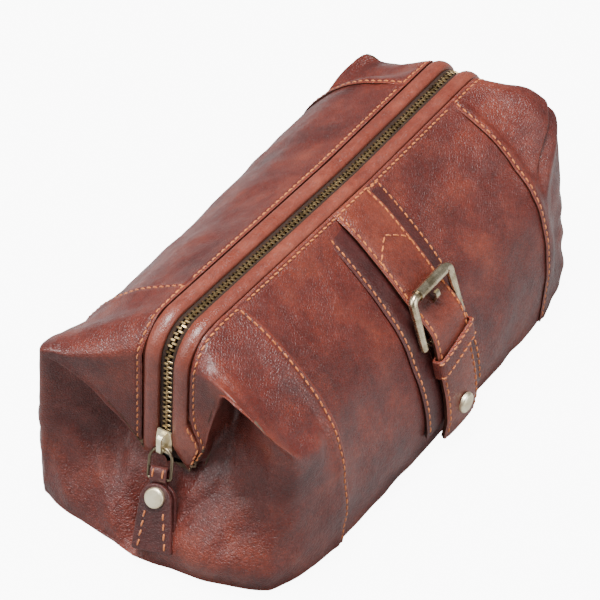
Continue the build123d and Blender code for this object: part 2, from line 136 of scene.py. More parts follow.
def spline_weights(count, places):
    """Catmull-Rom weights: one row per place, given in control points, one column per control point."""
    weights = np.zeros((len(places), count))
    for row, place in zip(weights, places):
        k = min(int(place), count - 2)
        f = place - k
        basis = (-.5 * f + f * f - .5 * f ** 3, 1 - 2.5 * f * f + 1.5 * f ** 3,
                 .5 * f + 2 * f * f - 1.5 * f ** 3, -.5 * f * f + .5 * f ** 3)
        for j, b in zip(range(k - 1, k + 3), basis):
            if j < 0:
                row[0] += 2 * b
                row[1] -= b
            elif j >= count:
                row[-1] += 2 * b
                row[-2] -= b
            else:
                row[j] += b
    return weights


def curve(points, count):
    """A smooth curve through the points, as count points at equal steps along it."""
    points = np.array(points, float)
    fine = spline_weights(len(points), np.linspace(0, len(points) - 1, 40 * len(points))) @ points
    return resample(fine, count)


def run_of(line):
    """Distance along a line at each of its points."""
    return np.concatenate([[0], np.cumsum(np.linalg.norm(np.diff(line[:, :3], axis=0), axis=1))])


def outward(line):
    """Unit normals of a section of (distance, height), pointing away from the bag's middle."""
    along = np.gradient(line, axis=0)
    out = unit(np.stack([-along[:, 1], along[:, 0]], 1))
    return out * np.sign((out * line).sum(1))[:, None]


def resample(line, count):
    """The line as count points at equal steps, or at the given shares of its length."""
    run = run_of(line)
    at = np.linspace(0, run[-1], count) if np.isscalar(count) else np.array(count) * run[-1]
    return np.stack([np.interp(at, run, c) for c in line.T], 1)


def round_corners(corners, radius):
    """A polyline with every inner corner rounded."""
    corners = [np.array(c, float) for c in corners]
    line = [corners[0]]
    for before, here, after in zip(corners, corners[1:], corners[2:]):
        a, b = unit(before - here), unit(after - here)
        half = math.acos(np.clip(a @ b, -1, 1)) / 2
        reach = radius / math.tan(half)
        centre = here + unit(a + b) * radius / math.sin(half)
        start, end = here + a * reach - centre, here + b * reach - centre
        sweep = math.pi - 2 * half
        for t in np.linspace(0, 1, 25):
            share = np.array([math.sin((1 - t) * sweep), math.sin(t * sweep)]) / math.sin(sweep)
            line.append(centre + share[0] * start + share[1] * end)
    return np.array(line + [corners[-1]])


ZIP_LINE = round_corners([(-ARM_X, FOOT_Z), (-ARM_X, LEFT_TOP_Z), (SAG_X, SAG_Z),
                          (ARM_X, RIGHT_TOP_Z), (ARM_X, FOOT_Z)], BEND_RADIUS)
ZIP_RUN = run_of(ZIP_LINE)
ZIP_LONG = ZIP_RUN[-1]


def zip_place(s):
    """(x, z) of the zip at run s from the -X foot. Before and after the zip it stays at that foot."""
    return np.stack([np.interp(s, ZIP_RUN, c) for c in ZIP_LINE.T], -1)


def zip_point(s, lift=0.0):
    """(x, z) at run s, lifted out of the bag. It goes straight on past both feet."""
    s = np.asarray(s, float)
    inside = np.clip(s, 0, ZIP_LONG)
    along = unit(zip_place(inside + .5) - zip_place(inside - .5))
    out = np.stack([-along[..., 1], along[..., 0]], -1)
    return zip_place(inside) + along * (s - inside)[..., None] + out * np.asarray(lift)[..., None]


def zip_height(x):
    """Height of the zip over the bag's straight length."""
    top = ZIP_LINE[ZIP_LINE[:, 1] > 99]
    return np.interp(x, top[:, 0], top[:, 1])


def hold_at(y):
    """Share of the jaw's turn that a middle panel follows at distance y from the middle plane."""
    return 1 - smoothstep(14, 47, np.abs(y))


def shoulder_bulge(side, x):
    """How far the rear wall's shoulder swells past its section, fullest towards +X."""
    return REAR_BULGE * float(smoothstep(-40, 60, x)) if side == REAR else 0.0


def wall_column(x, share_of_middle, lift=0.0, bulge=0.0):
    """One column of a wall's net at x, on the +Y side, between the seam's and the middle's section."""
    seam = resample(curve(SEAM_PROFILE, 200), ROW_SHARES)
    middle = resample(curve(MIDDLE_PROFILE, 200), ROW_SHARES)
    line = seam + (middle - seam) * share_of_middle
    rise = zip_height(x) - line[0, 1]
    line[:, 1] += rise * np.array([1, .55, .15] + [0] * (len(ROW_SHARES) - 3))
    line = line + outward(line) * (lift + bulge * BULGE_SHARES)[:, None]
    line[0] = (EDGE_Y, zip_height(x) + EDGE_LIFT)
    return np.column_stack([np.full(len(line), x), line, hold_at(line[:, 0])])


def evaluate(net, rows, columns):
    """The smooth surface through a net of points, at the given places."""
    net = np.array(net, float)
    a, b = spline_weights(net.shape[0], rows), spline_weights(net.shape[1], columns)
    return np.einsum("ai,bj,ijk->abk", a, b, net)


def normals(grid):
    """Outward unit normals of a grid of points."""
    du, dv = np.gradient(grid[..., :3], axis=0), np.gradient(grid[..., :3], axis=1)
    n = unit(np.cross(du, dv))
    return n * np.sign((n * (grid[..., :3] - INSIDE)).sum())


def pushed(grid, by):
    """The grid moved out along its normals, by one distance for each point."""
    moved = grid.copy()
    moved[..., :3] += normals(grid) * np.broadcast_to(by, grid.shape[:2])[..., None]
    return moved


def wrinkled(grid, keep):
    """Soft dents and creases of used leather. keep is 0 where the leather stays put."""
    flat = grid[..., :3].reshape(-1, 3)
    broad = np.array([noise.noise(Vector(p) / 34) for p in flat])
    small = np.array([noise.noise(Vector(p) / 13 + Vector((9, 0, 0))) for p in flat])
    fine = np.array([noise.noise(Vector((p[0] / 5, p[1] / 7, p[2] / 5))) for p in flat])
    return pushed(grid, (1.5 * broad + 0.55 * small + 0.16 * fine).reshape(grid.shape[:2]) * keep)


def edge_distance(grid, axis):
    """Distance over the surface from the grid's first row (axis 0) or column (axis 1)."""
    steps = np.linalg.norm(np.diff(grid[..., :3], axis=axis), axis=-1)
    run = np.cumsum(steps, axis=axis)
    first = np.zeros_like(np.take(run, [0], axis=axis))
    return np.concatenate([first, run], axis=axis)


def stitch_groove(distance):
    """How deep the leather is pulled in beside a row of stitches, and how it rolls over at its cut edge."""
    return (GROOVE_DEEP * np.exp(-((distance - STITCH_INSET) / GROOVE_WIDE) ** 2)
            + ROLL_DEEP * np.exp(-(distance / ROLL_WIDE) ** 2))


def surface_point(grid, row, column):
    """Interpolated point of a grid at fractional indices."""
    i, j = min(int(row), grid.shape[0] - 2), min(int(column), grid.shape[1] - 2)
    a, b = row - i, column - j
    return ((grid[i, j] * (1 - b) + grid[i, j + 1] * b) * (1 - a)
            + (grid[i + 1, j] * (1 - b) + grid[i + 1, j + 1] * b) * a)


def line_at_distance(grid, distance, inset, axis):
    """The line on the surface at a fixed inset from its first row or column."""
    points = []
    for k in range(grid.shape[1 - axis]):
        run = distance[:, k] if axis == 0 else distance[k]
        place = np.interp(inset, run, np.arange(len(run)))
        points.append(surface_point(grid, *((place, k) if axis == 0 else (k, place))))
    return np.array(points)


# --- meshes

class Shape:
    """Points in millimetres with a hold, and faces with a material number."""

    def __init__(self):
        self.points, self.faces, self.slots = [], [], []

    def add(self, points, faces, slot=0):
        points = np.array(points, float)
        if points.shape[1] == 3:
            points = np.column_stack([points, np.zeros(len(points))])
        start = sum(len(p) for p in self.points)
        self.points.append(points)
        self.faces += [tuple(int(i) + start for i in f) for f in faces]
        self.slots += list(slot) if isinstance(slot, (list, tuple)) else [slot] * len(faces)
        return self


def grid_faces(rows, columns, closed=False, start=0):
    """Quads of a grid. closed joins the last column to the first."""
    wide = columns if closed else columns - 1
    return [(start + i * columns + j, start + i * columns + (j + 1) % columns,
             start + (i + 1) * columns + (j + 1) % columns, start + (i + 1) * columns + j)
            for i in range(rows - 1) for j in range(wide)]


def add_slab(shape, grid, thickness, slots=(0, 1, 2)):
    """A sheet of leather: the grid outside, a cut edge round it, and its inner face.
    thickness is one value, or one for each point of the grid."""
    rows, columns = grid.shape[:2]
    inner = pushed(grid, -thickness)
    outer_faces = grid_faces(rows, columns)
    inner_faces = [f[::-1] for f in grid_faces(rows, columns, start=rows * columns)]
    rim = [(0, j) for j in range(columns)] + [(i, columns - 1) for i in range(1, rows)]
    rim += [(rows - 1, j) for j in range(columns - 2, -1, -1)] + [(i, 0) for i in range(rows - 2, 0, -1)]
    index = [i * columns + j for i, j in rim]
    edge_faces = [(index[k], index[(k + 1) % len(index)], index[(k + 1) % len(index)] + rows * columns,
                   index[k] + rows * columns) for k in range(len(index))]
    points = np.concatenate([grid.reshape(-1, 4), inner.reshape(-1, 4)])
    slot = [slots[0]] * len(outer_faces) + [slots[2]] * len(inner_faces) + [slots[1]] * len(edge_faces)
    return shape.add(points, outer_faces + inner_faces + edge_faces, slot)


def add_tube(shape, rings, slot=0):
    """Closed rings of points joined into a tube with flat ends."""
    rings = np.array(rings, float)
    rows, columns = rings.shape[:2]
    faces = grid_faces(rows, columns, closed=True)
    faces += [tuple(range(columns))[::-1], tuple(range((rows - 1) * columns, rows * columns))]
    return shape.add(rings.reshape(rows * columns, -1), faces, slot)


def add_stitches(shape, line, slot, out, pitch=STITCH_PITCH):
    """A row of stitches on a line of surface points. Each end dips into the leather."""
    line = np.array(line, float)
    if line.shape[1] == 3:
        line = np.column_stack([line, np.zeros(len(line))])
    out = np.broadcast_to(np.array(out, float), (len(line), 3))
    run = run_of(line)
    count = max(int(run[-1] / pitch), 1)
    step = run[-1] / count
    for k in range(count):
        middle = (k + 0.5) * step
        rings = []
        for share, fat, dip in STITCH_SHAPE:
            at = middle + share * STITCH_LONG * step / pitch
            point = np.array([np.interp(at, run, c) for c in line.T])
            normal = unit(np.array([np.interp(at, run, c) for c in out.T]))
            ahead = np.array([np.interp(at + .4, run, c) - np.interp(at - .4, run, c) for c in line[:, :3].T])
            side = np.cross(unit(ahead), normal)
            raised = STITCH_RADIUS * dip * 1.3 + STITCH_PROUD
            centre = point[:3] + normal * raised + side * STITCH_SLANT * share
            turn = np.linspace(0, 2 * math.pi, 6, endpoint=False)[:, None]
            ring = centre + STITCH_RADIUS * fat * (np.cos(turn) * side + np.sin(turn) * normal)
            rings.append(np.column_stack([ring, np.full(6, point[3])]))
        add_tube(shape, rings, slot)


def build(name, shape, materials, replaces, body=None, bend=None, sharp=35):
    """Makes the Blender object of a shape and ties it to its body, or blends it between two bodies."""
    points = np.concatenate(shape.points)
    mesh = bpy.data.meshes.new(name)
    mesh.from_pydata((points[:, :3] * MM).tolist(), [], shape.faces)
    for material in materials:
        mesh.materials.append(material)
    mesh.polygons.foreach_set("material_index", shape.slots)
    bm = bmesh.new()
    bm.from_mesh(mesh)
    bmesh.ops.recalc_face_normals(bm, faces=bm.faces)
    bm.to_mesh(mesh)
    bm.free()
    mesh.shade_smooth()
    mesh.set_sharp_from_angle(angle=math.radians(sharp))
    piece = bpy.data.objects.new(name, mesh)
    bpy.context.scene.collection.objects.link(piece)
    if bend:
        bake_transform(piece, *bend, start=(0, 0, 0), end=(0, 0, 0.1))
        mesh.attributes["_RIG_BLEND"].data.foreach_set("value", points[:, 3].astype(np.float32))
    else:
        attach(piece, body)
    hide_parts(replaces)


# --- materials

class Nodes:
    """Short names for building a material's nodes."""

    def __init__(self, name):
        self.material = bpy.data.materials.new(name)
        self.material.use_nodes = True
        self.tree = self.material.node_tree
        self.shader = self.tree.nodes["Principled BSDF"]
        self.where = self.new("TexCoord").outputs["Object"]

    def new(self, kind, inputs=(), **settings):
        """A new node. inputs holds values or sources by socket."""
        node = self.tree.nodes.new("ShaderNode" + kind)
        for key, value in settings.items():
            setattr(node, key, value)
        self.feed(node, inputs)
        return node

    def feed(self, node, inputs):
        for socket, source in dict(inputs).items():
            if isinstance(source, (int, float, tuple)):
                node.inputs[socket].default_value = source
            else:
                self.tree.links.new(source, node.inputs[socket])

    def noise(self, size_mm, detail=4, rough=0.55, stretch=(1, 1, 1), shift=0.0):
        place = self.new("Mapping", {"Scale": stretch, "Location": (shift, shift, shift),
                                     "Vector": self.where})
        return self.new("TexNoise", {"Scale": 1 / (size_mm * MM), "Detail": detail, "Roughness": rough,
                                     "Vector": place.outputs[0]}).outputs["Fac"]

    def cells(self, size_mm, where):
        """Distance to the walls of a net of cells."""
        return self.new("TexVoronoi", {"Scale": 1 / (size_mm * MM), "Vector": where},
                        feature="DISTANCE_TO_EDGE").outputs["Distance"]

    def warped(self, by_mm):
        """The place, shifted by up to by_mm, so that cells lose their straight walls."""
        cloud = self.new("TexNoise", {"Scale": 1 / (2.2 * MM), "Vector": self.where}).outputs["Color"]
        scaled = self.new("VectorMath", {0: cloud, "Scale": by_mm * MM}, operation="SCALE")
        return self.new("VectorMath", {0: self.where, 1: scaled.outputs[0]}).outputs[0]

    def height_ramp(self, none_mm, full_mm):
        """0 at one height above the ground, 1 at the other."""
        height = self.new("SeparateXYZ", {0: self.where}).outputs[2]
        return self.new("MapRange", {"Value": height, "From Min": none_mm * MM, "From Max": full_mm * MM},
                        interpolation_type="SMOOTHSTEP").outputs["Result"]

    def ramp(self, source, *stops):
        """A colour or a number by source, from (place, value) stops."""
        node = self.new("ValToRGB", {"Fac": source})
        elements = node.color_ramp.elements
        while len(elements) < len(stops):
            elements.new(0.5)
        for element, (place, value) in zip(elements, stops):
            element.position = place
            element.color = rgba(value if isinstance(value, tuple) else (value, value, value))
        return node.outputs["Color"]

    def math(self, kind, a, b=0.0):
        return self.new("Math", {0: a, 1: b}, operation=kind).outputs[0]

    def times(self, a, b):
        return self.math("MULTIPLY", a, b)

    def mix(self, share, a, b, kind="MIX"):
        return self.new("Mix", {"Factor": share, 6: rgba(a), 7: rgba(b)}, data_type="RGBA",
                        blend_type=kind).outputs[2]

    def pointiness(self):
        return self.new("NewGeometry").outputs["Pointiness"]

    def bump(self, height, strength, distance_mm, after=None):
        inputs = {"Strength": strength, "Distance": distance_mm * MM, "Height": height}
        if after is not None:
            inputs["Normal"] = after
        return self.new("Bump", inputs).outputs[0]

    def finish(self, colour, roughness, normal=None, values=()):
        """The material, with its shader fed."""
        inputs = {"Base Color": rgba(colour), "Roughness": roughness, **dict(values)}
        if normal is not None:
            inputs["Normal"] = normal
        self.feed(self.shader, inputs)
        return self.material


def rgba(colour):
    """A plain colour with its alpha. A node's output stays as it is."""
    return (*colour, 1) if isinstance(colour, tuple) else colour


def leather(name, dark, middle, light, grain=1.0, gloss=0.37, coat=0.16):
    """Pull-up leather: cloudy dye, painted shade in creases, worn edges, pebbled grain with fine cracks, waxy
    sheen.
    """
    m = Nodes(name)
    colour = m.ramp(m.noise(30, 6, 0.62), (0.30, dark), (0.52, middle), (0.78, light))
    mottle = m.ramp(m.noise(2.6, 7, 0.75), (0.36, 0.55), (0.62, 1.0))
    colour = m.mix(0.85, colour, mottle, "MULTIPLY")
    low_down = m.height_ramp(62, 18)
    wavy = m.warped(0.9)
    pebble = m.cells(1.25, wavy)
    coarse = m.cells(2.6, wavy)
    crackle = m.ramp(m.cells(0.8, wavy), (0.0, 1.0), (0.10, 0.0))
    tan_patch = m.ramp(m.noise(16, 5, 0.7, shift=3.0), (0.48, 0.0), (0.66, 1.0))
    colour = m.mix(m.times(m.times(crackle, tan_patch), 0.80 * grain), colour, light)
    colour = m.mix(m.times(m.ramp(pebble, (0.0, 1.0), (0.14, 0.0)), 0.30), colour, dark)
    worn = m.ramp(m.pointiness(), (0.505, 0.0), (0.56, 1.0))
    colour = m.mix(m.times(worn, 0.45), colour, light)
    # painted shade: concave creases and hollows (low pointiness) are darkened towards a deeper tone of the
    # dark dye
    painted_crease_shade = m.ramp(m.pointiness(), (0.43, 1.0), (0.495, 0.0))
    colour = m.mix(m.times(painted_crease_shade, 0.6), colour, tuple(c * 0.4 for c in dark))
    pores = m.ramp(m.noise(0.55, 3, 0.6), (0.35, 0.0), (0.65, 1.0))
    deep = m.times(m.ramp(coarse, (0.0, 0.0), (0.22, 1.0)), low_down)
    normal = m.bump(m.ramp(pebble, (0.0, 0.0), (0.20, 1.0)), 0.75 * grain, 0.20)
    normal = m.bump(deep, 0.50 * grain, 0.28, normal)
    normal = m.bump(pores, 0.45 * grain, 0.08, normal)
    normal = m.bump(m.noise(6, 5, 0.65), 0.40, 0.5, normal)
    shine = m.ramp(m.noise(10, 6, 0.7, shift=7.0), (0.30, gloss - 0.08), (0.70, gloss + 0.14))
    return m.finish(colour, shine, normal, {"Coat Weight": coat, "Coat Roughness": 0.22, "Sheen Weight": 0.03,
                                            "Sheen Roughness": 0.4, "Specular IOR Level": 0.45})


def cut_edge():
    """Burnished dark edge of cut leather."""
    m = Nodes("cut_edge")
    colour = m.ramp(m.noise(1.5, 4, 0.6), (0.3, (0.030, 0.009, 0.006)), (0.7, (0.085, 0.028, 0.017)))
    return m.finish(colour, 0.5, m.bump(m.noise(0.5, 3), 0.5, 0.1))


def thread():
    """Waxed linen thread, bright orange with twisted strands."""
    m = Nodes("thread")
    colour = m.ramp(m.noise(1.6, 3, 0.6), (0.3, (0.36, 0.075, 0.012)), (0.7, (0.68, 0.21, 0.045)))
    return m.finish(colour, 0.55, m.bump(m.noise(0.35, 2), 0.8, 0.12), {"Sheen Weight": 0.3})


def antique_brass(name, pale, dark, rough=0.24):
    """Plated metal, cloudy with brown patina and finely scratched."""
    m = Nodes(name)
    colour = m.ramp(m.noise(5.5, 5, 0.6), (0.30, dark), (0.56, pale))
    scratches = m.noise(0.6, 4, 0.7, (1, 1, 0.12))
    roughness = m.ramp(m.noise(2.4, 5, 0.7), (0.3, rough), (0.7, rough + 0.14))
    return m.finish(colour, roughness, m.bump(scratches, 0.12, 0.03), {"Metallic": 1.0})


def woven(name, dark, light, pitch_mm, rough=0.85):
    """Plain weave: two crossing sets of ribs and a little fuzz."""
    m = Nodes(name)
    split = m.new("SeparateXYZ", {0: m.where})
    turns = 2 * math.pi / (pitch_mm * MM)
    lengthwise = m.math("SINE", m.times(m.math("ADD", split.outputs[0], split.outputs[2]), turns))
    crosswise = m.math("SINE", m.times(split.outputs[1], turns))
    ribs = m.math("ADD", m.times(m.times(lengthwise, crosswise), 0.5), 0.5)
    fuzz = m.noise(3, 5, 0.7)
    colour = m.ramp(m.math("ADD", m.times(ribs, 0.5), m.times(fuzz, 0.5)),
                    (0.25, dark), (0.75, light))
    return m.finish(colour, rough, m.bump(ribs, 0.7, 0.15), {"Sheen Weight": 0.06, "Specular IOR Level": 0.2})


BODY = leather("leather_body", (0.054, 0.0058, 0.0042), (0.122, 0.0165, 0.0098), (0.262, 0.049, 0.024))
TRIM = leather("leather_trim", (0.110, 0.0160, 0.0095), (0.205, 0.040, 0.0230),
               (0.340, 0.090, 0.054), 0.6, 0.32, 0.30)
STRAP = leather("leather_strap", (0.080, 0.0110, 0.0062), (0.175, 0.031, 0.0165),
                (0.320, 0.076, 0.040), 0.7, 0.34, 0.22)
DARK = leather("leather_dark", (0.030, 0.0048, 0.0044), (0.066, 0.0115, 0.0098),
               (0.120, 0.027, 0.021), 0.6, 0.36)
EDGE = cut_edge()
THREAD = thread()
BRASS = antique_brass("antique_brass", (0.72, 0.62, 0.44), (0.32, 0.24, 0.13), 0.19)
AGED_BRASS = antique_brass("aged_brass", (0.26, 0.21, 0.14), (0.09, 0.065, 0.04), 0.26)
# paler than the buckle's brass: partly the plated metal's own colour, partly a painted highlight that
# brightens the slider and rivet caps
PALE_BRASS_PAINTED_HIGHLIGHT = antique_brass("pale_brass_painted_highlight", (1.0, 0.92, 0.68), (0.80, 0.68, 0.44), 0.38)
TEETH = antique_brass("zip_metal", (0.42, 0.30, 0.15), (0.065, 0.038, 0.016), 0.26)
STEEL = antique_brass("spring_steel", (0.50, 0.50, 0.50), (0.25, 0.25, 0.26), 0.3)
TAPE = woven("zip_tape", (0.012, 0.006, 0.004), (0.050, 0.026, 0.017), 0.7)
LINING = woven("lining_fabric", (0.050, 0.030, 0.018), (0.120, 0.078, 0.048), 0.9)
BOARD = woven("stiffener_board", (0.10, 0.075, 0.050), (0.20, 0.155, 0.11), 2.4, 0.95)
LEATHER_SET = [BODY, EDGE, LINING, THREAD]


# --- leather walls

JAW = {FRONT: ("root", "front_jaw"), REAR: ("root", "rear_jaw")}
# places of the surface's rows and columns, in control points: close together beside stitched edges
EDGE_STEPS = [0, .03, .06, .1, .15, .2, .25, .3, .35, .4, .45, .55, .7, .85]
WALL_ROWS = EDGE_STEPS + list(np.arange(1, 3, 1 / 12)) + list(np.arange(3, 6, 1 / 10)) \
    + list(np.arange(6, 10.01, 1 / 11))


def strap_bed(x):
    """0 where the strap and its backing lie on the front panel, 1 away from them."""
    return smoothstep(24, 46, np.abs(x))


def middle_panel(side, name):
    """The wall between the seams, stitched below the binding."""
    sag = 1 if side == FRONT else REAR_SAG
    columns = [wall_column(x, sag * (1 - (x / SEAM_X) ** 2), 0, shoulder_bulge(side, x))
               for x in np.linspace(-SEAM_X - 1, SEAM_X + 1, 13)]
    net = np.stack(columns, 1)
    grid = evaluate(net, WALL_ROWS, np.linspace(0, 12, 120))
    distance = edge_distance(grid, 0)
    keep = smoothstep(3, 22, distance)
    if side == FRONT:
        keep = keep * (0.12 + 0.88 * strap_bed(grid[..., 0]))
    grid[..., 1] *= side
    grid = pushed(wrinkled(grid, keep), -stitch_groove(distance))
    shape = add_slab(Shape(), grid, LEATHER)
    straight_stitches(shape, grid, STITCH_INSET, 0, trim=(5, -5))
    build(name + "_skin", shape, LEATHER_SET, bend=JAW[side], replaces=name)


def straight_stitches(shape, grid, inset, axis, slot=3, trim=(0, None)):
    """Stitches at an inset from a grid's first row (axis 0) or first column (axis 1)."""
    distance = edge_distance(grid, axis)
    line = line_at_distance(grid, distance, inset, axis)
    out = line_at_distance(np.dstack([normals(grid), np.zeros(grid.shape[:2])]), distance, inset, axis)[:, :3]
    start, end = trim
    add_stitches(shape, line[start:end], slot, out=unit(out[start:end]))


def top_point(end, s, lift=EDGE_LIFT):
    """(x, z) beside the zip at run s from the foot at that end, with x counted outwards."""
    x, z = zip_point(s if end < 0 else ZIP_LONG - s, lift)
    return abs(x), z


def end_column(top, fold, base, facing, tuck, swell, flap, lip=3.0, hold=0.3, hollow=0.4):
    """One column of a corner's net: top edge, flap, fold, tucked hollow, wall and base.
    facing is the wall's outward direction in degrees from +X, flap how far the flap stands up,
    lip how softly the leather turns over the fold, hollow how far down the tuck reaches."""
    top, fold, base = (np.array(p, float) for p in (top, fold, base))
    out = np.array([math.cos(math.radians(facing)), math.sin(math.radians(facing)), 0])
    up = np.array([0, 0, 1.0])
    run = fold - top
    rise = unit(np.cross(np.cross(run, up), run)) if np.linalg.norm(run) > 1 else up
    down = base - fold
    round_off = max(lip - 3, 0) * .22
    blown = rise * max(flap - 3, 0)
    points = [top, top + run * .25 + rise * flap * .6, top + run * .52 + rise * flap,
              top + run * .78 + rise * flap * .7,
              fold - unit(run) * min(lip, np.linalg.norm(run) / 6) + up * .3
              - (unit(run) + up) * round_off * .3 + blown * .6,
              fold - (unit(run) + up) * round_off + blown * .25,
              fold - out * (tuck * .6) - up * (lip * 1.2 + tuck * .26),
              fold + down * .30 - out * tuck,
              fold + down * .58 - out * tuck * hollow + out * swell * .7,
              fold + down * .83 + out * swell, base]
    holds = [1, .86, .72, .55, hold + .06, hold, hold * .8, hold * .35, 0, 0, 0]
    return np.column_stack([points, holds])


def foot_column(tip, base_x):
    """The column down the middle of the end wall, below the foot of the frame."""
    x, y, z = tip
    points = [(x, y, z), (x, y - .3, z - .4), (x, y - .6, z - .8), (x, y - .9, z - 1.1),
              (x, y - 1.1, z - 1.4), (x - .2, y - 1.8, z - 1.8), (x - .9, y - 5, z - 2.4),
              (x - 1.6, -.3, z - 5), (x + 3.5, -.3, z * .46), (x + 12, -.3, z * .2), (base_x, -.3, .6)]
    return np.column_stack([points, [1, 1, 1, 1, 1, .9, .5, 0, 0, 0, 0]])


def corner_net(end, side, ear, arched, puff, draw_in):
    """Net of a corner panel in the +X +Y quarter. arched: the fold rises in a lip over a deep hollow.
    puff: how far the flap of a plain corner is blown up, draw_in: how far its foot is drawn in."""
    ear = np.array(ear, float)
    bulge = shoulder_bulge(side, end * SEAM_X)
    lap = wall_column(end * (SEAM_X - LAP), 0, OVERLAP, bulge)
    seam = wall_column(end * (SEAM_X + 2), 0, OVERLAP * .7, bulge)
    after = wall_column(end * (SEAM_X + 6), 0, 0, bulge * .8)
    for column in (lap, seam, after):
        column[:, 0] = np.abs(column[:, 0])
    bend = BEND_RADIUS * math.pi / 2
    arm = (LEFT_TOP_Z if end < 0 else RIGHT_TOP_Z) - BEND_RADIUS - FOOT_Z
    shoulder = np.array([SEAM_X, 61.6, 63.5])

    def top(s, y=EDGE_Y):
        x, z = top_point(end, s)
        return x, y, z

    def along_fold(share, lift=0.0):
        x, y, z = shoulder + (ear - shoulder) * share
        return x, y + 4 * math.sin(share * math.pi), z + lift
    columns = [lap, seam, after]
    foot = np.array([ARM_X + 1.2, 11.6, FOOT_Z + .5])
    if arched:
        for edge, fold, base, facing, tuck, swell, flap, lip, hold in (
                (top(arm + bend + 3), (106, 65.5, 65), (106, 68, .6), 78, 0, 1.6, 1.5, 9, .2),
                (top(arm + bend * .74), (119.5, 63.8, 68.5), (121.5, 65, .6), 62, 1.5, 2.4, 1.5, 7, .25),
                (top(arm + bend * .58), (128, 60, 77.5), (131.5, 60.6, .6), 50, 8, 3, 1.5, 2.6, .3),
                (top(arm + bend * .44), (131.5, 54.5, 84), (134.5, 57.6, .6), 40, 14, 3.5, 1.5, 1.8, .34),
                (top(arm + bend * .32), (132.5, 47.2, 90), (137.5, 52.6, .6), 32, 20, 4, 2, 1.6, .38),
                (top(arm + bend * .20), (132.2, 39.5, 94), (140.5, 44.6, .6), 23, 24, 4.5, 2, 1.6, .45),
                (top(arm + bend * .06), (129.5, 31, 93), (143.3, 34.4, .6), 14, 24, 5, .8, 1.8, .55),
                (top(arm * .80), (126, 27, 82), (145.2, 25.2, .6), 8, 17, 4.5, .3, 3, .65),
                (top(arm * .52, 12.6), (124.6, 22.5, 66), (146.4, 17, .6), 5, 10, 3.5, .3, 3, .78),
                (top(arm * .24, 17.5), (125.0, 19.5, 53), (147.8, 9, .6), 2, 6, 2, .2, 3, .9)):
            columns.append(end_column(edge, fold, base, facing, tuck, swell, flap, lip, hold, .68))
        foot = np.array([ARM_X + 1.4, 13.5, FOOT_Z - 1])
    else:
        soft = 9 if puff else 4
        columns += [end_column(top(arm + bend + 3), along_fold(.36, -1), (106, 67.2, .6), 78, -.5, 1.6,
                               .5 + puff * .4, soft + 2, .2),
                    end_column(top(arm + bend * .72), along_fold(.72, 0), (121, 64, .6), 62, .5, 1.6,
                               -.5 + puff * .8, soft, .25)]
        for share, run, base, facing, tuck in (
                (0, arm + 4, (135.5, 56.3, .6), 45, 0), (.16, arm - 6, (138.5, 51, .6), 34, 9),
                (.42, arm * .62, (142, 40, .6), 24, 15), (.68, arm * .36, (144.6, 25, .6), 12, 13),
                (.87, arm * .14, (146.4, 11, .6), 4, 7)):
            fold = ear + (foot - ear) * share
            fold[0] -= (6.5 if puff else 2.5) * math.sin(share * math.pi)
            base = np.array(base) - np.array([draw_in, draw_in * .6, 0]) * (1 - share)
            columns.append(end_column(top(run), fold, base, facing, tuck, 1.0,
                                      (puff - 2.2) * (1 - share), soft if share < .2 else 3, .3 + .6 * share))
    columns.append(foot_column(foot, 148.3))
    return np.stack(columns, 1)


def end_folds(grid, arched):
    """Soft diagonal folds that fan over the end wall from the ear to the middle of the base."""
    x, y, z = (grid[..., k] for k in range(3))
    wall = smoothstep(112, 122, x) * (1 - smoothstep(42, 58, z)) * smoothstep(2, 12, z)
    ridges = 0
    for turn, wave, share in ((0.9, 15.0, 1.0), (0.55, 9.5, .45)):
        across = y * math.cos(turn) - z * math.sin(turn)
        ridges = ridges + share * np.sin(2 * math.pi * across / wave + 2 * np.sin(z / 17))
    return pushed(grid, ridges * wall * (0.3 if arched else 0.45))


def corner_thickness(columns):
    """Leather's thickness over a corner: full beside its stitched edges, skived thin where it folds."""
    rows, columns = np.array(WALL_ROWS)[:, None], np.array(columns)[None, :]
    full = np.maximum(1 - smoothstep(.5, 1.6, rows), 1 - smoothstep(1.5, 2.8, columns))
    full = full * (1 - smoothstep(columns.max() - 3.5, columns.max() - 2, columns) * smoothstep(0, .4, rows))
    return LEATHER * (.15 + .85 * full)


def corner_panel(end, side, name, ear, arched=False, puff=0.0, draw_in=0.0):
    """A corner's folded wall, from the seam to the middle of the end."""
    net = corner_net(end, side, ear, arched, puff, draw_in)
    columns = [0, .12, .24, .36, .5, .65, .8] + list(np.arange(1, net.shape[1] - 1 + .01, 1 / 14))
    grid = end_folds(evaluate(net, WALL_ROWS, columns), arched)
    top_run, seam_run = edge_distance(grid, 0), edge_distance(grid, 1)
    grid[..., 0] *= end
    grid[..., 1] *= side
    middle = smoothstep(0, 8, np.abs(grid[..., 1]))
    middle = middle + smoothstep(SEAM_X + 14, SEAM_X + 2, np.abs(grid[..., 0]))
    keep = smoothstep(3, 16, top_run) * np.clip(middle, 0, 1)
    groove = stitch_groove(top_run) + stitch_groove(seam_run)
    grid = pushed(wrinkled(grid, keep), -np.minimum(groove, .6))
    shape = add_slab(Shape(), grid, corner_thickness(columns))
    straight_stitches(shape, grid, STITCH_INSET, 0, trim=(3, -7))
    straight_stitches(shape, grid, STITCH_INSET, 1, trim=(4, -2))
    build(name + "_skin", shape, LEATHER_SET, bend=JAW[side], replaces=name)


middle_panel(FRONT, "front_panel")
middle_panel(REAR, "rear_panel")
corner_panel(-1, REAR, "rear_left_corner", (138.6, 54, 83), draw_in=.5)
corner_panel(-1, FRONT, "front_left_corner", (130.5, 57.5, 80), arched=True)
corner_panel(1, REAR, "rear_right_corner", (128, 55, 83))
corner_panel(1, FRONT, "front_right_corner", (132, 47, 87), puff=10.0, draw_in=3.0)


# --- zip and bindings

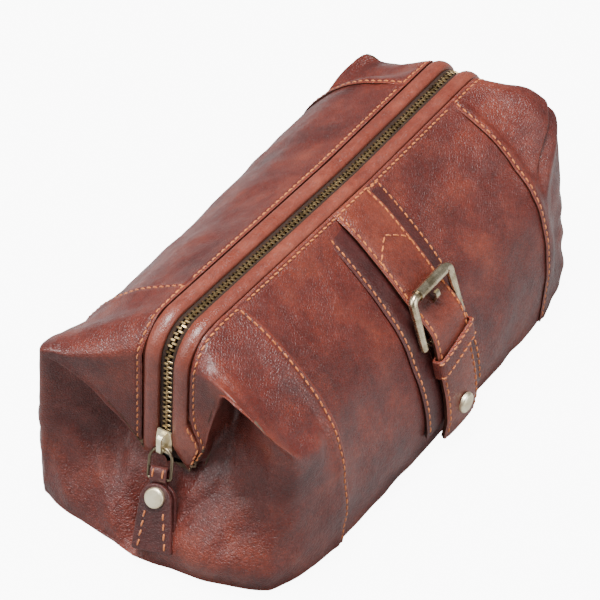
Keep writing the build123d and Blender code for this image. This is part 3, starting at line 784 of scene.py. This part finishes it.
def binding_section(flare=0.0, pinch=1.0, inner=3.5):
    """Padded piping in section: (distance from the middle plane, lift), closed. Its flange runs on
    under the edge of the leather beside it."""
    wide = 10.8 + flare - inner
    flange = inner + wide + (1.9 if flare == 0 else .1)
    arch = [(inner + wide * (1 - math.cos(t)) / 2, .9 + 2.5 * math.sin(t) ** .75 * pinch)
            for t in np.linspace(0, math.pi, 15)]
    return np.array([(inner + .3, -.3)] + arch + [(inner + wide, .45), (flange, .4), (flange, -.3)])


def binding(side, name):
    """Leather piping beside the zip. At the front, its -X foot flares into a pointed tab end."""
    runs = np.concatenate([np.linspace(-2, 26, 40), np.linspace(27, ZIP_LONG - 8, 150),
                           np.linspace(ZIP_LONG - 7, ZIP_LONG + 2, 20)])
    rings = []
    for s in runs:
        to_end = min(s + 2, ZIP_LONG + 2 - s)
        pinch = float(smoothstep(-1.5, 5, to_end))
        flare, inner = 0.0, 3.5 + 1.6 * (1 - float(smoothstep(0, 6, to_end)))
        if side == FRONT and s < 26:
            flare = 6.5 * float(smoothstep(24, 12, s)) * min(1, (s + 3) / 13)
            flare += 1.5 * float(smoothstep(10, -2, s))
            inner = 3.5 + 7.5 * float(smoothstep(9, -2, s))
        section = binding_section(flare, .35 + .65 * pinch, inner)
        at = np.array([zip_point(s, lift) for lift in section[:, 1]])
        rings.append(np.column_stack([at[:, 0], section[:, 0] * side, at[:, 1]]))
    rings = np.array(rings)
    shape = add_tube(Shape(), rings)
    if side == FRONT:
        edge = rings[:34, -6].copy()
        edge[:, 0] -= 0.4
        add_stitches(shape, edge, 1, out=(-1, 0, 0))
    build(name + "_piping", shape, [TRIM, THREAD], body=JAW[side][1], replaces=name)


def zip_teeth(side, name):
    """Cast teeth clamped on the tape's edge: a shank and a rounded nose that meets the other row."""
    pitch, half_long, half_thick = 2.65, 0.56, 1.15
    first = 14.0 + (pitch / 2 if side == REAR else 0)
    octagon = [(-1, -.75), (-.75, -1), (.75, -1), (1, -.75), (1, .75), (.75, 1), (-.75, 1), (-1, .75)]
    outline = [(-.70, .55), (-.35, .95), (1.3, .95), (1.9, .8), (2.35, .6)]
    shape = Shape()
    for s in np.arange(first, ZIP_LONG - 8, pitch):
        rings = []
        for y, fat in outline:
            ring = []
            for a, b in octagon:
                x, z = zip_point(s + a * half_long * fat, b * half_thick * fat)
                ring.append((x, y * side, z))
            rings.append(ring)
        add_tube(shape, rings)
    build(name + "_cast", shape, [TEETH], body=JAW[side][1], replaces=name, sharp=25)


def zip_tape(side, name):
    """Woven tape with a corded edge beside the teeth."""
    runs = np.linspace(0, ZIP_LONG, 220)
    section = [(1.5, .55), (1.9, .75), (2.5, .7), (3.0, .45), (5, .4), (10.5, .4), (10.5, -.4), (5, -.4),
               (3.0, -.4), (2.5, -.6), (1.9, -.7), (1.5, -.5)]
    rings = []
    for s in runs:
        at = [zip_point(s, lift) for _, lift in section]
        rings.append([(x, y * side, z) for (x, z), (y, _) in zip(at, section)])
    build(name + "_weave", add_tube(Shape(), rings), [TAPE],
          body=JAW[side][1], replaces=name)


for side, word in ((FRONT, "front"), (REAR, "rear")):
    binding(side, word + "_binding")
    zip_teeth(side, word + "_zip_teeth")
    zip_tape(side, word + "_zip_tape")


# --- strap, backing, keeper

def strap_line(heights, profile):
    """(distance from the middle plane, height, hold) along a strap that stands off the middle section."""
    profile = np.array(profile, float)
    lifted = profile + outward(profile) * np.array(heights)[:, None]
    return np.column_stack([lifted, hold_at(profile[:, 0])])


def band_grid(line, left, right, crown, count=16, steps=140):
    """A strap's outer surface: the line carried across, slightly crowned, with rolled edges."""
    line = curve(line, steps)
    out = outward(line[:, :2])
    shares = (1 - np.cos(np.linspace(0, math.pi, count))) / 2
    shares = np.unique(np.concatenate([shares, [0.02, 0.05, 0.08, 0.92, 0.95, 0.98]]))
    grid = np.zeros((steps, len(shares), 4))
    for j, share in enumerate(shares):
        x = left + (right - left) * share
        from_edge = min(share, 1 - share) * (right - left)
        height = crown * (1 - (2 * share - 1) ** 2) - 0.7 * math.exp(-(from_edge / 0.6) ** 2) \
            - 0.3 * math.exp(-((from_edge - 2) / 0.8) ** 2)
        grid[:, j, 0] = x
        grid[:, j, 1:3] = line[:, :2] + out * height
        grid[:, j, 3] = np.clip(line[:, 2], 0, 1)
    grid[..., 1] *= FRONT
    return grid


def stitched_band(heights, left, right, crown, thick):
    """A strap down the front panel, stitched along both long edges and across its top."""
    line = strap_line(heights, MIDDLE_PROFILE[:len(heights)])
    line[0, 0] = EDGE_Y + .4
    grid = band_grid(line, left, right, crown)
    shape = add_slab(Shape(), grid, thick, (0, 1, 0))
    for sheet in (grid, grid[:, ::-1]):
        straight_stitches(shape, sheet, 2.0, 1, 2, trim=(2, -3))
    straight_stitches(shape, grid, 1.6, 0, 2, trim=(1, -1))
    return shape, grid


def front_strap():
    """The strap, with an arrow of stitches near its top."""
    shape, grid = stitched_band([h + STRAP_THICK for h in STRAP_HEIGHTS], -STRAP_HALF, STRAP_HALF,
                                0.5, STRAP_THICK)
    run = edge_distance(grid, 0)[:, grid.shape[1] // 2]
    point, low = np.interp([22, 34], run, np.arange(len(run)))
    wide = grid.shape[1] - 1
    for side in (-1, 1):
        places = [(point + (low - point) * t, wide * (.5 + side * .34 * t)) for t in np.linspace(0, 1, 30)]
        line = np.array([surface_point(grid, *p) for p in places])
        out = np.array([surface_point(normals(grid), *p) for p in places])
        add_stitches(shape, line, 2, out=out)
    build("strap_leather", shape, [STRAP, EDGE, THREAD], bend=JAW[FRONT], replaces="strap")


def backing():
    """The wider strip under the strap."""
    heights = [BACKING_GAP + BACKING_THICK] * (len(MIDDLE_PROFILE) - 2)
    shape, _ = stitched_band(heights, BACKING_LEFT, BACKING_RIGHT, 0.0, BACKING_THICK)
    build("strap_backing_leather", shape, [DARK, EDGE, THREAD], bend=JAW[FRONT],
          replaces="strap_backing")


def keeper():
    """Leather band round the strap, fuller in front, with two rows of stitches."""
    low, high = mm_box("keeper_loop")
    middle = (low + high) / 2
    half_wide, tall, thick, skew = (high[0] - low[0]) / 2, 9.0, 1.2, .2
    deep_front, deep_back = 3.8, 2.9
    lean = math.radians(15)
    count = 72
    rings = []
    for share, outer in ((-.5, 0), (-.47, .75), (-.3, 1), (0, 1.12), (.3, 1), (.47, .75), (.5, 0),
                         (.5, -1), (0, -1), (-.5, -1)):
        grow = 0 if outer == -1 else thick * min(outer, 1.12) * .5 + thick * .5
        ring = []
        for t in np.linspace(0, 2 * math.pi, count, endpoint=False):
            c, s = math.cos(t), math.sin(t)
            x = squared(c, .28) * (half_wide - thick + grow)
            y = squared(s, .45) * ((deep_front if s < 0 else deep_back) - thick + grow)
            z = share * tall + x * skew
            ring.append((x, middle[1] + y * math.cos(lean) + z * math.sin(lean),
                         middle[2] + z * math.cos(lean) - y * math.sin(lean)))
        rings.append(ring)
    rings = np.array(rings)
    points = rings.reshape(-1, 3)
    faces = grid_faces(len(rings), count, closed=True)
    last = (len(rings) - 1) * count
    faces += [(last + j, last + (j + 1) % count, (j + 1) % count, j) for j in range(count)]
    shape = Shape().add(points, faces)
    for row, edge in ((2, 1), (4, 5)):
        arc = (rings[row] + rings[edge])[count // 2 + 1:] / 2
        out = unit(arc - (middle + np.array([0, 3, 0])))
        out[:, 0] *= .6
        add_stitches(shape, arc + unit(out) * .1, 1, out=unit(out))
    build("keeper_leather", shape, [BODY, THREAD], body="keeper", replaces="keeper_loop")


front_strap()
backing()
keeper()


# --- pull

def pull_matrix():
    """Frame of the hanging pull: origin on the bail, X across, Y up the pull, Z out of the end wall."""
    top = np.array(JOINTS["pull_ring_hinge"]["pos_m"]) / MM
    low = np.array(JOINTS["pull_tab_hinge"]["pos_m"]) / MM
    up = unit(top - low)
    across = -unit(np.array(JOINTS["pull_ring_hinge"]["axis"], float))
    return np.column_stack([across, up, np.cross(across, up)]), top


PULL_AXES, PULL_TOP = pull_matrix()


def on_pull(points):
    """Points of the pull's own frame in the bag's frame."""
    return np.array(points, float) @ PULL_AXES.T + PULL_TOP


def tab_outline(top_half, end_half, top, end, corner, steps=14):
    """Round above, flaring to a straight end with rounded corners, anticlockwise."""
    centre = top - top_half
    arc = [(top_half * math.cos(t), centre + top_half * math.sin(t))
           for t in np.linspace(0, math.pi, 2 * steps)]
    left = [(-top_half - (end_half - top_half) * t, centre + (end - centre) * t)
            for t in np.linspace(.05, .9, steps)]
    corners = [(-end_half + corner * (1 - math.cos(t)), end + corner * (1 - math.sin(t)))
               for t in np.linspace(0, math.pi / 2, 6)]
    bottom = [(x, end) for x in np.linspace(-end_half + 2 * corner, end_half - 2 * corner, 6)]
    mirrored = [(-x, y) for x, y in (left + corners)[::-1]]
    return np.array(arc + left + corners + bottom + mirrored)


def level(outline, z):
    """An outline as points at one height."""
    return np.column_stack([outline, np.full(len(outline), z)])


def pad(outline, z_low, z_high, bevel=0.5, crown=0.3):
    """Rings of a flat leather piece: rolled edges and a slight crown, closed by small end faces."""
    centre = outline.mean(0)
    rings = []
    steps = [(.02, z_low), (.5, z_low), (1, z_low), (1, z_low), (1, z_low + bevel), (1, z_high - bevel)]
    for share, z in steps:
        rings.append(level(centre + (outline - centre) * share, z))
    rings[2][:, :2] = inset(outline, bevel * .7)
    rings[3][:, :2] = inset(outline, bevel * .2)
    rings[3][:, 2] += bevel * .3
    for step, drop in ((.25, .35), (.7, .08), (1.5, 0)):
        rings.append(level(inset(outline, step * bevel), z_high - drop * bevel))
    for share in (.6, .3, .02):
        within = centre + (rings[8][:, :2] - centre) * share
        rings.append(level(within, z_high + crown * (1 - share ** 2)))
    return rings


def inset(outline, distance):
    """The outline moved inwards."""
    along = unit(np.roll(outline, -1, 0) - np.roll(outline, 1, 0))
    return outline + np.stack([-along[:, 1], along[:, 0]], 1) * distance


def tab_layer(name, z_low, z_high, stitched, grow=0.0):
    """One layer of the pull tab, between two heights over its middle."""
    outline = tab_outline(7.8 + grow, 9.8 + grow * .4, -15.4 + grow, -45.0, 1.6)
    shape = add_tube(Shape(), [on_pull(ring) for ring in pad(outline, z_low, z_high)])
    if stitched:
        for x_top, x_end in ((-4.3, -6.6), (4.3, 6.6)):
            line = on_pull([(x_top + (x_end - x_top) * t, -27.0 - 17 * t, z_high + .12)
                            for t in np.linspace(0, 1, 20)])
            add_stitches(shape, line, 1, out=PULL_AXES[:, 2])
    build(name + "_leather", shape, [DARK, THREAD], body="tab", replaces=name)


def pull_loop():
    """Leather strip folded round the ring and stitched, its tail between the tab's layers."""
    half, thick, wall = 4.0, 3.6, 1.0
    low, high = -15.2, -8.2
    side_line = [(low - 9, .45), (low - 4, .45), (low - .6, .6), (low + .8, 1.5), (low + 3, thick / 2),
                 (high - 1.6, thick / 2), (high - .4, 1.1), (high, 0)]
    outer = side_line + [(y, -z) for y, z in side_line[-2::-1]]
    inner = [(low - 9, .05), (low, .1), (low + .9, .8), (high - 1.9, .85), (high - wall, 0)]
    inner = inner + [(y, -z) for y, z in inner[-2::-1]]
    outer, inner = curve(outer, 44), curve(inner, 44)
    rings = []
    for x, shrink in ((-half, .35), (-half + .3, 0), (0, 0), (half - .3, 0), (half, .35)):
        out = outer + (inner - outer) * shrink
        loop = np.concatenate([out, inner[::-1]])
        rings.append(on_pull(np.column_stack([np.full(len(loop), x), loop])))
    shape = Shape()
    rows, columns = len(rings), len(rings[0])
    faces = grid_faces(rows, columns, closed=True)
    for start in (0, (rows - 1) * columns):
        faces += [(start + j, start + j + 1, start + columns - 2 - j, start + columns - 1 - j)
                  for j in range(columns // 2 - 1)]
    shape.add(np.array(rings).reshape(-1, 3), faces)
    for x in (-2.4, 2.4):
        line = on_pull([(x, y, thick / 2 + .05) for y in np.linspace(low + 2.2, high - 1.0, 10)])
        add_stitches(shape, line, 1, out=PULL_AXES[:, 2], pitch=2.6)
    build("pull_loop_leather", shape, [DARK, THREAD], body="tab", replaces="pull_loop")


tab_layer("pull_front", .55, 2.25, True)
tab_layer("pull_back", -2.25, -.55, False, grow=.7)
pull_loop()


# --- lining, base and hidden parts

def lining_tub():
    """Loose cotton lining: sagging walls, rolled hem, soft folds."""
    low, high = mm_box("lining")
    rings = []
    count = 160
    levels = [(.0, .05), (.0, .5), (.0, .93), (.02, .985), (.08, 1), (.35, 1), (.65, 1), (.9, 1), (1, 1)]
    levels = levels + [(z, s - .012) for z, s in levels[::-1]]
    for k, (share, spread) in enumerate(levels):
        inner = k >= len(levels) // 2
        ring = []
        for t in np.linspace(0, 2 * math.pi, count, endpoint=False):
            c, s = math.cos(t), math.sin(t)
            x = squared(c, .3) * (high[0] - 4 * share) * spread
            y = squared(s, .3) * (high[1] - 13 * share) * spread
            z = low[2] + (high[2] - low[2]) * share + (1.2 if inner else 0) * (1 - share)
            fold = 2.4 * math.sin(math.pi * min(share * 1.2, 1))
            fold *= noise.noise(Vector((x / 16, y / 16, z / 30)))
            ring.append((x * (1 + fold / 110), y * (1 + fold / 60), z))
        rings.append(ring)
    build("lining_cloth", add_tube(Shape(), rings), [LINING], body="root", replaces="lining")


def base_outline(inset_by):
    """The base's outline, anticlockwise."""
    quarter = [(92, 69), (117.5, 65.5), (136, 56), (144, 30), (147.5, 0)]
    right = curve([(x, y) for x, y in quarter] + [(x, -y) for x, y in quarter[-2::-1]], 90)[::-1]
    line = np.concatenate([right, -right])
    return inset(resample(np.vstack([line, line[:1]]), 240)[:-1], inset_by)


def base_sheet():
    """Leather base with rolled edges."""
    rings = []
    for in_by, z in ((130, .25), (40, .2), (3, .1), (1.6, .0), (.8, .35), (.5, 1.0), (.9, 1.6), (3, 1.8),
                     (130, 1.8)):
        ring = base_outline(.5 + min(in_by, 6))
        if in_by > 6:
            ring = ring * (0.5 if in_by == 40 else 0.02)
        rings.append(level(ring, z))
    build("base_leather", add_tube(Shape(), rings), [DARK], body="root",
          replaces="base_panel")


lining_tub()
base_sheet()


# new finishes for the CAD nodes that stay
for material, nodes in ((BRASS, ("buckle_frame", "buckle_roller", "buckle_prong", "zip_bottom_stop")),
                        (AGED_BRASS, ("pull_ring",)),
                        (PALE_BRASS_PAINTED_HIGHLIGHT, ("slider_body", "slider_bail", "pull_rivet", "strap_rivet",
                                      "pull_rivet_back", "strap_rivet_back")),
                        (STEEL, ("front_frame", "rear_frame", "pivot_pins")),
                        (DARK, ("buckle_chape",)), (BOARD, ("base_board",))):
    for node in nodes:
        mesh = frame["nodes"][node].data
        mesh.materials.clear()
        mesh.materials.append(material)


# --- stage, light and camera

SEEN_WHITE = 9.0                     # brightness of the backdrop where the camera sees it


def soft_light(name, place, size, power):
    """A square lamp aimed at the bag."""
    lamp = bpy.data.lights.new(name, "AREA")
    lamp.size, lamp.energy = size, power
    light = bpy.data.objects.new(name, lamp)
    light.location = place
    light.rotation_euler = (Vector((0, 0, 0.05)) - Vector(place)).to_track_quat("-Z", "Y").to_euler()
    bpy.context.scene.collection.objects.link(light)


def floor():
    mesh = bpy.data.meshes.new("floor")
    far = 6.0
    mesh.from_pydata([(-far, -far, 0), (far, -far, 0), (far, far, 0), (-far, far, 0)], [], [(0, 1, 2, 3)])
    m = Nodes("floor_white")
    seen = m.new("LightPath").outputs["Is Camera Ray"]
    glow = {"Emission Color": (1.0, 1.0, 1.0, 1.0), "Emission Strength": m.times(seen, SEEN_WHITE)}
    mesh.materials.append(m.finish((0.35, 0.35, 0.35), 0.9, values=glow))
    plane = bpy.data.objects.new("floor", mesh)
    bpy.context.scene.collection.objects.link(plane)


def world(strength):
    """Even soft light from all around, seen by the camera as the same white as the floor."""
    sky = bpy.data.worlds.new("studio")
    sky.use_nodes = True
    tree = sky.node_tree
    background = tree.nodes["Background"]
    background.inputs["Color"].default_value = (1, 1, 1, 1)
    brighter = tree.nodes.new("ShaderNodeMath")
    brighter.operation = "MULTIPLY_ADD"
    tree.links.new(tree.nodes.new("ShaderNodeLightPath").outputs["Is Camera Ray"], brighter.inputs[0])
    brighter.inputs[1].default_value, brighter.inputs[2].default_value = SEEN_WHITE, strength
    tree.links.new(brighter.outputs[0], background.inputs["Strength"])
    bpy.context.scene.world = sky


def camera():
    """Long lens from above the -X end, a little towards the front, rolled slightly."""
    azimuth, elevation, roll = math.radians(-60.25), math.radians(39.46), math.radians(3.3)
    target, distance = Vector((-24.33, -4.21, 60)) * MM, 1297.2 * MM
    back = Vector((math.sin(azimuth) * math.cos(elevation), -math.cos(azimuth) * math.cos(elevation),
                   math.sin(elevation)))
    right = (-back).cross(Vector((0, 0, 1))).normalized()
    up = right.cross(-back)
    right, up = right * math.cos(roll) + up * math.sin(roll), up * math.cos(roll) - right * math.sin(roll)
    data = bpy.data.cameras.new("camera")
    data.sensor_width, data.lens = 36, 36 * 2936.8 / 600
    data.clip_start, data.clip_end = 0.05, 20
    eye = bpy.data.objects.new("camera", data)
    rotation = Matrix((right, up, back)).transposed().to_4x4()
    eye.matrix_world = Matrix.Translation(target + back * distance) @ rotation
    bpy.context.scene.collection.objects.link(eye)
    bpy.context.scene.camera = eye


floor()
world(0.22)
soft_light("key", (-0.95, 0.60, 0.90), 1.0, 13)
soft_light("fill", (0.1, -1.4, 0.65), 1.3, 15)
soft_light("top", (-0.12, 0.12, 1.5), 0.6, 48)
camera()
